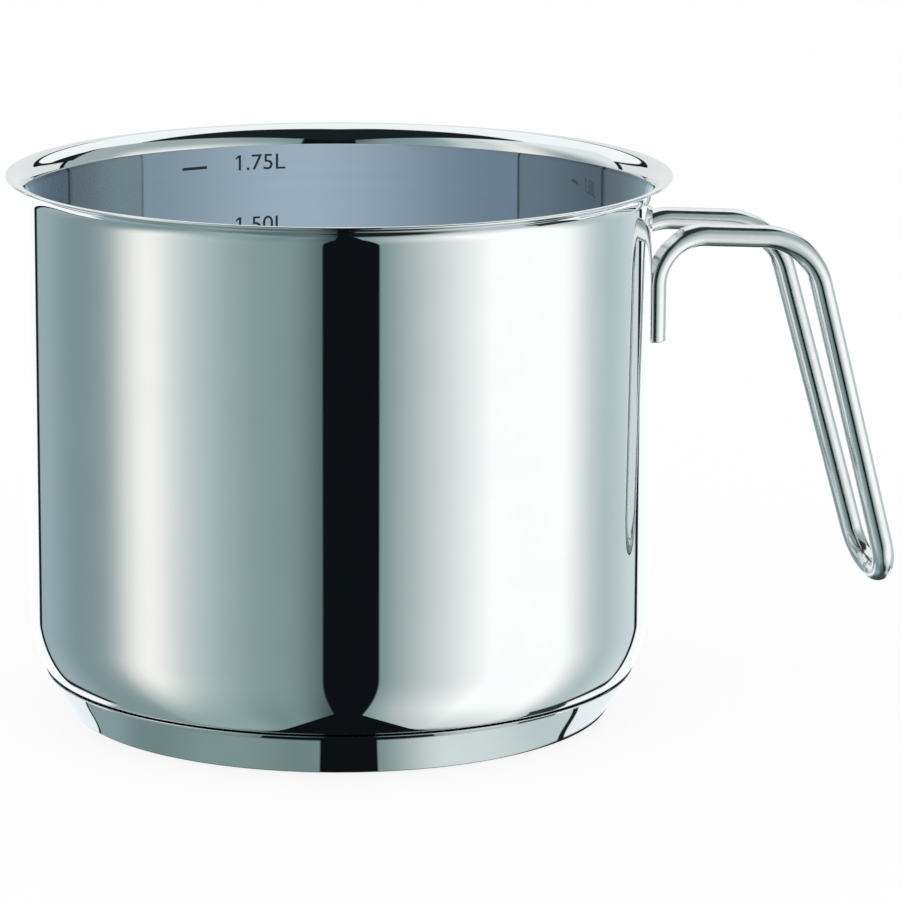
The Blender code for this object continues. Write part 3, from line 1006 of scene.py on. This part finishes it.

# The painted dark patch is as wide as its slope times the distance from its far tip.
off_ring = ramp(far, RING_END - 0.0003, RING_END)
off_middle = abs(maths("SINE", maths("RADIANS", azimuth)) * far - DARK_PATCH_MIDDLE)
in_painted_dark_patch = ramp((DARK_PATCH_TIP - far) * DARK_PATCH_SLOPE - off_middle, -0.0001, 0.0002)
print("nodes for the ring and the cloth:", len(tree.nodes))

# %% What each kind of ray sees of the floor
paper = mixed_colour(noise(place, 600.0, 3.0), (0.95, 0.95, 0.95), (0.98, 0.98, 0.98))
matt = add_node(tree, "BsdfDiffuse", inputs={"Color": paper})
white = add_node(tree, "Emission", inputs={"Color": (1.0, 1.0, 1.0, 1.0)})
path = add_node(tree, "LightPath").outputs
seen_floor = add_node(tree, "MixShader", inputs={
    0: Value(path["Is Camera Ray"]) * CAMERA_GLOW, 1: matt.outputs[0], 2: white.outputs[0]})

# To reflection rays the floor glows with the painted ring and the painted dark patch, and is clear
# elsewhere.
painted_reflection_colour = mixed_colour(off_ring, painted_ring_reflection, NEAR_BLACK)
painted_reflection_glow = add_node(tree, "Emission", inputs={"Color": painted_reflection_colour})
clear = add_node(tree, "BsdfTransparent")
reflected_floor = add_node(tree, "MixShader", inputs={
    0: off_ring * (1.0 - in_painted_dark_patch), 1: painted_reflection_glow.outputs[0], 2: clear.outputs[0]})
finished(tree, add_node(tree, "MixShader", inputs={
    0: path["Is Glossy Ray"], 1: seen_floor.outputs[0], 2: reflected_floor.outputs[0]}))

corners = [(x * FLOOR_SIZE / 2, y * FLOOR_SIZE / 2, -FLOOR_DROP)
           for x, y in ((-1, -1), (1, -1), (1, 1), (-1, 1))]
floor_mesh = bpy.data.meshes.new("floor")
floor_mesh.from_pydata(corners, [], [(0, 1, 2, 3)])
floor_mesh.materials.append(floor_material)
floor = bpy.data.objects.new("floor", floor_mesh)
bpy.context.scene.collection.objects.link(floor)
print("floor, in m:", FLOOR_SIZE)


# %% [markdown]
# ## The hidden disc
#
# The aluminium disc in the base keeps its imported solid and gets plain pressed aluminium.

# %% The hidden disc's finish
core_aluminium = metal("core_aluminium", 1200.0, (0.80, 0.80, 0.81), (0.72, 0.72, 0.74), rough=0.28,
                       by_streaks=0.15, by_haze=0.0, hair=0.000002)
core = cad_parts["base_core"]
core.data.materials.clear()
core.data.materials.append(core_aluminium)
